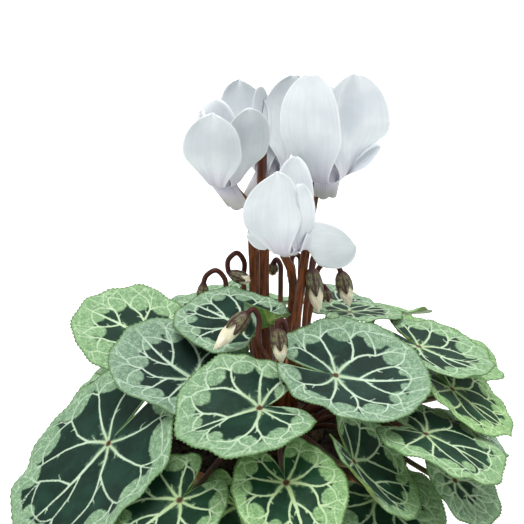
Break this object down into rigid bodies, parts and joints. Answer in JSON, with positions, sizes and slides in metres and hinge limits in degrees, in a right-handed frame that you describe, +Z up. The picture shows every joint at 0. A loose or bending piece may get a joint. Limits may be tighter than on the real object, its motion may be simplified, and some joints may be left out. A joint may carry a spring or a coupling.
{
  "type": "potted cyclamen plant",
  "caption": "Cyclamen in a plain clay pot: dome of marbled heart-shaped leaves, white flowers with folded-back petals and hanging buds above it.",
  "frame": {"origin": "middle of the pot's underside, on the surface that it stands on", "axes": "+Z up, -Y towards the side that the flowers show to the camera, +X to the camera's right"},
  "size_m": [0.2339, 0.2463, 0.2995],
  "materials": {
    "clay": "matt fired clay; matte_plastic stands in",
    "soil": "damp peat; matte_plastic stands in",
    "tuber": "corky brown skin; wood stands in",
    "leaf": "dark green with a silvery band and pale veins, satin; matte_plastic stands in",
    "petal": "white, faintly mauve at the foot, matt; matte_plastic stands in",
    "stalk": "red-brown, slightly glossy; matte_plastic stands in",
    "bud_tip": "cream white, matt; matte_plastic stands in"
  },
  "bodies": {
    "root": {"pot": "clay", "soil": "soil", "tuber": "tuber", "leaf_back_left": "leaf", "leaf_mid_left": "leaf", "leaf_top_left": "leaf", "leaf_front_centre": "leaf", "leaf_centre_right": "leaf", "leaf_top_right": "leaf", "leaf_back_right": "leaf", "leaf_right": "leaf", "leaf_low_right": "leaf", "leaf_front_right": "leaf", "leaf_front_low": "leaf", "leaf_front_left": "leaf", "leaf_big_left": "leaf", "leaf_hem_right": "leaf", "leaf_crown_1": "leaf", "leaf_crown_2": "leaf", "leaf_rear_1": "leaf", "leaf_rear_2": "leaf", "leaf_rear_3": "leaf", "leaf_rear_4": "leaf", "leaf_rear_left": "leaf", "leaf_hem_1": "leaf", "leaf_hem_2": "leaf", "leaf_hem_3": "leaf", "leaf_hem_4": "leaf", "leaf_hem_5": "leaf", "leaf_hem_6": "leaf", "leaf_hem_7": "leaf", "leaf_hem_8": "leaf", "flower_right_petals": "petal", "flower_right_stalk": "stalk", "flower_left_petals": "petal", "flower_left_stalk": "stalk", "flower_back_petals": "petal", "flower_back_stalk": "stalk", "flower_front_petals": "petal", "flower_front_stalk": "stalk", "bud_front_left_stalk": "stalk", "bud_front_left_petals": "bud_tip", "bud_front_middle_stalk": "stalk", "bud_front_middle_petals": "bud_tip", "bud_front_right_stalk": "stalk", "bud_front_right_petals": "bud_tip", "bud_right_stalk": "stalk", "bud_right_petals": "bud_tip", "bud_small_right_stalk": "stalk", "bud_small_right_petals": "bud_tip", "bud_loop_stalk": "stalk", "bud_loop_petals": "bud_tip", "bud_hook_left_stalk": "stalk", "bud_hook_left_petals": "bud_tip", "bud_hook_middle_stalk": "stalk", "bud_hook_middle_petals": "bud_tip", "bud_thin_stalk": "stalk", "bud_thin_petals": "bud_tip", "bud_hanging_stalk": "stalk", "bud_hanging_petals": "bud_tip"}
  },
  "joints": []
}
